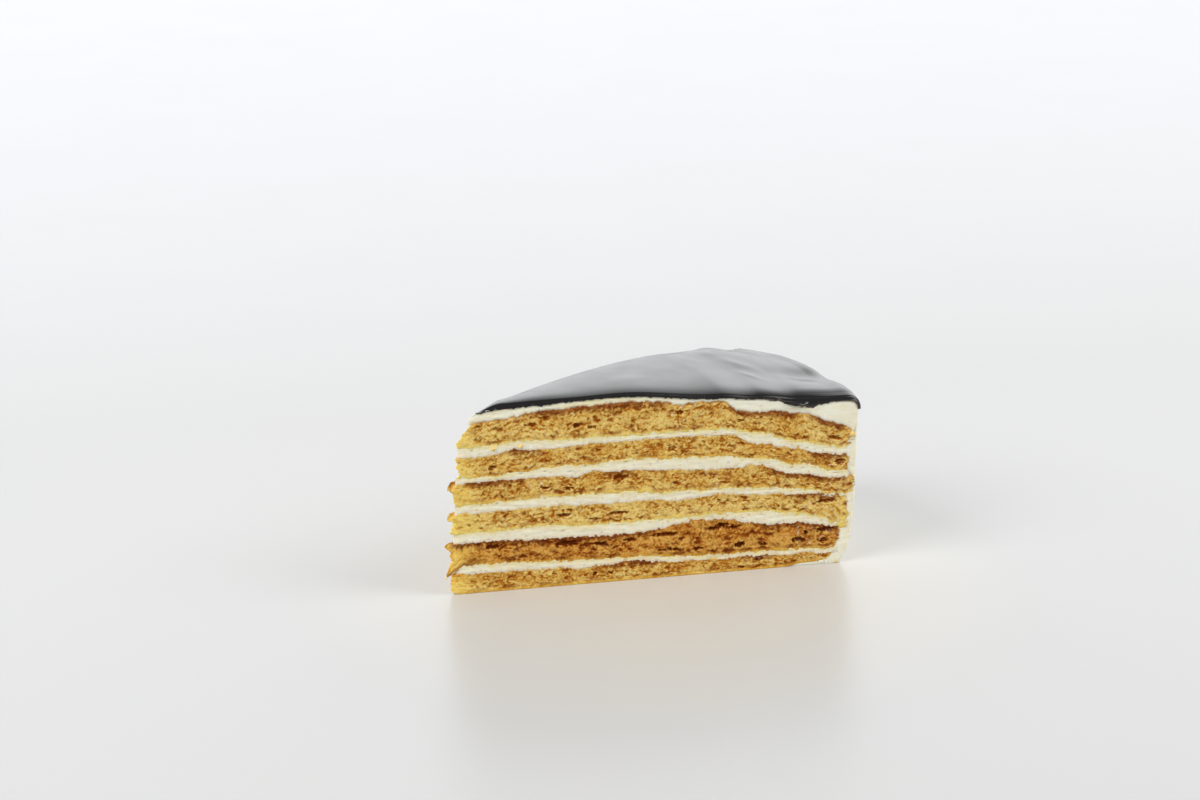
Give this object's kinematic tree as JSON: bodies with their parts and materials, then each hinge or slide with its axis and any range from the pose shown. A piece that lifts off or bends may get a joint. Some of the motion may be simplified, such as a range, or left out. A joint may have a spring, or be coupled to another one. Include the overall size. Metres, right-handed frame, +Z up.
{
  "type": "queen cake slice",
  "caption": "Wedge slice of a round layered sponge cake with cream between the layers, a cream coat and a dark glaze, standing on its base.",
  "frame": {"origin": "on the ground under the middle of the slice's bounding box", "axes": "+X along the shown cut from the tip to the outer wall, -Y out of the shown cut, +Z up"},
  "size_m": [0.1246, 0.0632, 0.0584],
  "materials": {
    "sponge": "moist open crumb",
    "brown_sponge": "moist open crumb, darker",
    "cream": "soft satin",
    "glaze": "mirror gloss"
  },
  "bodies": {
    "root": {"sponge_6": "sponge", "cream_5": "cream", "sponge_5": "brown_sponge", "cream_4": "cream", "sponge_4": "sponge", "cream_3": "cream", "sponge_3": "sponge", "cream_2": "cream", "sponge_2": "sponge", "cream_1": "cream", "sponge_1": "sponge", "cream_coat": "cream", "glaze": "glaze"}
  },
  "joints": []
}
